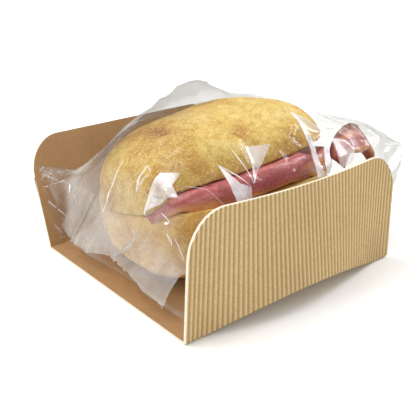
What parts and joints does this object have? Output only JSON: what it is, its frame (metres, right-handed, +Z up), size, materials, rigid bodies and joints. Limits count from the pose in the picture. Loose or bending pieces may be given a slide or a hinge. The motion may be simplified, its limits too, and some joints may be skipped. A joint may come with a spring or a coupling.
{
  "type": "sandwich bag",
  "caption": "Clear film sandwich bag holding a filled bread roll, standing in a folded fluted-board tray with two rounded walls and open ends",
  "frame": {"origin": "middle of the whole pack's footprint, on the table", "axes": "X along the two walls, toward the bag's sealed end; Y across the tray, toward the wall that leans out; Z up"},
  "size_m": [0.164, 0.1536, 0.0839],
  "materials": {
    "board": "matt kraft board, fluted outside",
    "film": "clear glossy film",
    "heel": "matt baked crust",
    "crown": "matt baked crust dusted with meal",
    "bacon": "greasy cooked meat"
  },
  "bodies": {
    "root": {"card_tray": "board", "film_bag": "film", "bun_heel": "heel", "bun_crown": "crown", "bacon_rasher_lower": "bacon", "bacon_rasher_middle": "bacon", "bacon_rasher_upper": "bacon", "bacon_rasher_curled": "bacon"}
  },
  "joints": []
}
